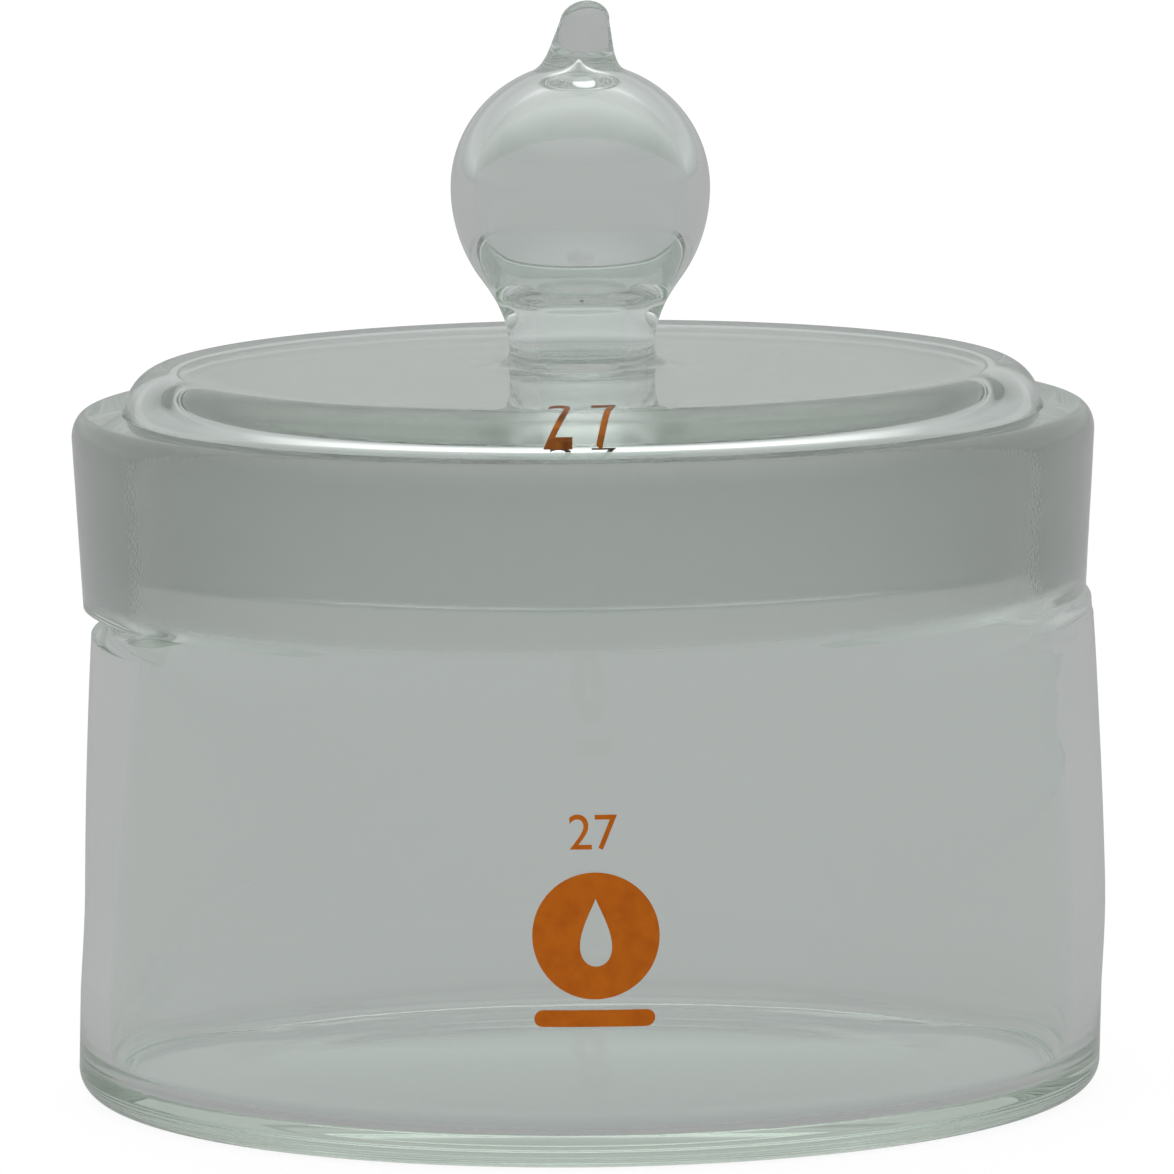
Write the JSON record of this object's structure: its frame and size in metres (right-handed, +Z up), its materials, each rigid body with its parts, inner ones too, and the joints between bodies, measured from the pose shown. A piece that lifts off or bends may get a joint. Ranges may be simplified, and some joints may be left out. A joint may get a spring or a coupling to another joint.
{
  "type": "weighing bottle",
  "caption": "Low-form glass weighing bottle: flat-bottomed cup with a ground conical neck, closed by a hollow ground-in stopper with a ball knob that lifts straight out.",
  "frame": {"origin": "centre of the foot, on the surface that the bottle stands on", "axes": "+Z up along the common axis of bottle and stopper; the printed marks face -Y"},
  "size_m": [0.05, 0.05, 0.0532],
  "materials": {
    "clear_glass": "clear colourless borosilicate, fire-polished, faint grey-green in thick edges",
    "stopper_glass": "clear colourless blown borosilicate",
    "ground_glass": "fine-ground matt glass of the conical joint, translucent grey-white",
    "amber_enamel": "thin fired amber-brown enamel print, slightly glossy"
  },
  "bodies": {
    "bottle": {"bottle_body": "clear_glass"},
    "lid": {"stopper": "stopper_glass"}
  },
  "joints": [
    {"name": "stopper_lift", "type": "slide", "parent": "bottle", "child": "lid", "axis": [0, 0, 1], "range_m": [0, 0.03]}
  ]
}
